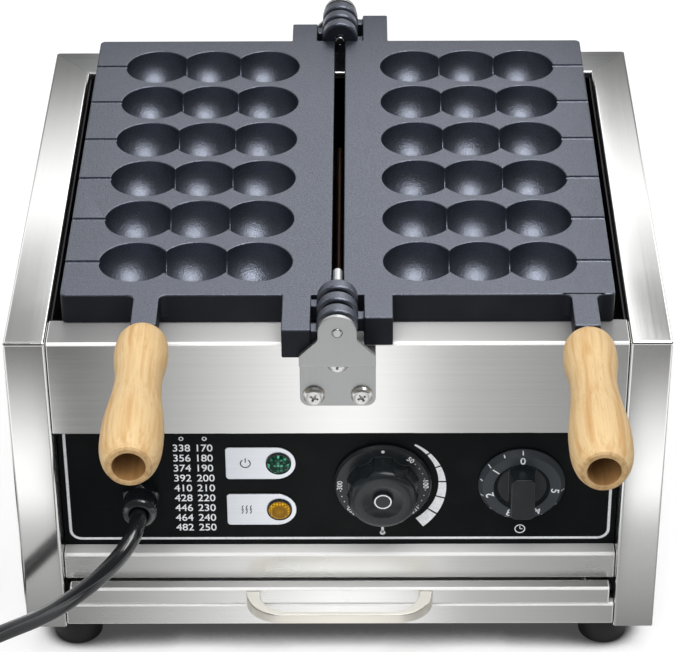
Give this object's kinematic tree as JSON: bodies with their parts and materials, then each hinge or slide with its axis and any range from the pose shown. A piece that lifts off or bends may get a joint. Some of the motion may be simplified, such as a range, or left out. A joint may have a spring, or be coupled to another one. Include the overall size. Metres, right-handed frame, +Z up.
{
  "type": "electric waffle-ball maker",
  "caption": "Counter-top electric waffle-ball maker: two hinged cast mould plates with wooden grips open over a steel heater box with dials and a crumb tray.",
  "frame": {"origin": "on the counter, midway between the sides, and midway between the tip of the longer grip and the back of the rear pivot bracket", "axes": "+X to the right as seen from the front, +Y to the back, +Z up"},
  "size_m": [0.5424, 0.45, 0.2339],
  "materials": {
    "stainless": "brushed stainless sheet",
    "galvanised": "dull galvanised sheet",
    "non_stick": "cast aluminium with a speckled dark non-stick coat",
    "bare_steel": "bright steel",
    "panel_black": "gloss black printed facing",
    "knob_black": "satin black moulded plastic",
    "beech": "clear-lacquered beech",
    "rubber_black": "matt black rubber",
    "cord_black": "smooth black rubber sheath",
    "lens_green": "clear green lens",
    "lens_amber": "clear amber lens",
    "label_silver": "bright anodised plate",
    "ceramic": "white glazed ceramic",
    "moulded_grey": "moulded housing",
    "heater_sheath": "heat-darkened sheath",
    "copper": "bare copper",
    "brass_prong": "bright brass",
    "zinc": "satin die-cast handle"
  },
  "bodies": {
    "chassis": {"left_side_panel": "stainless", "right_side_panel": "stainless", "rear_panel": "stainless", "front_apron": "stainless", "lower_rail": "stainless", "base_pan": "stainless", "front_pivot_bracket": "stainless", "rear_pivot_bracket": "stainless", "rear_posts": "galvanised", "control_panel": "galvanised", "chamber_liner": "galvanised", "firewall": "galvanised", "heater_supports": "galvanised", "tray_runners": "galvanised", "rear_panel_screws": "bare_steel", "foot_screws": "bare_steel", "foot_nuts": "bare_steel", "front_bracket_screws": "bare_steel", "rear_bracket_screws": "bare_steel", "front_pivot_pin": "bare_steel", "rear_pivot_pin": "bare_steel", "panel_overlay": "panel_black", "cable_gland": "knob_black", "gland_locknut": "knob_black", "rubber_feet": "rubber_black", "power_cord": "cord_black", "cord_coil": "cord_black", "cord_tail": "cord_black", "cord_tie": "knob_black", "power_plug": "cord_black", "plug_prongs": "brass_prong", "power_lamp_lens": "lens_green", "heat_lamp_lens": "lens_amber", "power_lamp_plate": "label_silver", "heat_lamp_plate": "label_silver", "heater_bushes": "ceramic", "terminal_block": "ceramic", "thermostat_body": "moulded_grey", "timer_body": "moulded_grey", "lamp_holders": "moulded_grey", "left_heater": "heater_sheath", "right_heater": "heater_sheath", "thermostat_probe": "copper"},
    "left_plate": {"left_mould_plate": "non_stick", "left_handle_rod": "bare_steel", "left_grip": "beech", "left_grip_nut": "bare_steel"},
    "right_plate": {"right_mould_plate": "non_stick", "right_handle_rod": "bare_steel", "right_grip": "beech", "right_grip_nut": "bare_steel"},
    "tray": {"crumb_tray": "stainless", "tray_handle": "zinc", "tray_handle_screws": "bare_steel"},
    "thermostat_dial": {"thermostat_knob": "knob_black", "thermostat_shaft": "bare_steel"},
    "timer_dial": {"timer_knob": "knob_black", "timer_shaft": "bare_steel"}
  },
  "joints": [
    {"name": "left_plate_hinge", "type": "hinge", "parent": "chassis", "child": "left_plate", "pos_m": [0, 0.053, 0.22345], "axis": [0, 1, 0], "range_deg": [0, 180]},
    {"name": "right_plate_hinge", "type": "hinge", "parent": "chassis", "child": "right_plate", "pos_m": [0, 0.053, 0.22345], "axis": [0, -1, 0], "range_deg": [0, 180]},
    {"name": "tray_slide", "type": "slide", "parent": "chassis", "child": "tray", "axis": [0, -1, 0], "range_m": [0, 0.2]},
    {"name": "thermostat_turn", "type": "hinge", "parent": "chassis", "child": "thermostat_dial", "pos_m": [0.0232, -0.086, 0.10545], "axis": [0, 1, 0], "range_deg": [0, 270]},
    {"name": "timer_turn", "type": "hinge", "parent": "chassis", "child": "timer_dial", "pos_m": [0.0968, -0.086, 0.10545], "axis": [0, 1, 0], "range_deg": [0, 270]}
  ]
}
